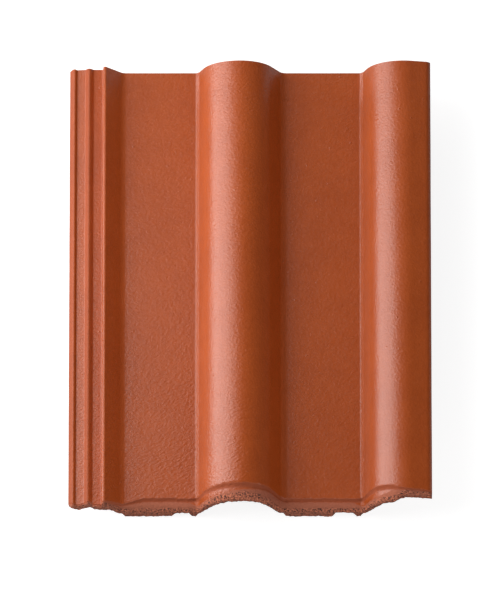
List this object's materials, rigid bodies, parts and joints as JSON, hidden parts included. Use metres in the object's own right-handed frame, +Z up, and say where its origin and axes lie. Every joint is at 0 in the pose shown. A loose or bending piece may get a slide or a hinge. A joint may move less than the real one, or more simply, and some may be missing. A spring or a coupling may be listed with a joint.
{
  "type": "roof pantile",
  "caption": "Double-roll interlocking concrete roof tile with a terracotta-red satin coating, ribbed underlock, plain cover roll, hanging nibs, foot bars and a rough rounded nose.",
  "frame": {"origin": "centre of the bounding box at floor level, on which the hanging nibs and foot bars stand", "axes": "+X across the tile from the underlock ribs to the cover roll, +Y up the roof from the nose to the head, +Z up through the weather side"},
  "size_m": [0.33, 0.42, 0.058],
  "materials": {
    "coated_concrete": "satin coating on the weather side, bare torn concrete at the nose and underneath"
  },
  "bodies": {
    "root": {"pantile": "coated_concrete"}
  },
  "joints": []
}
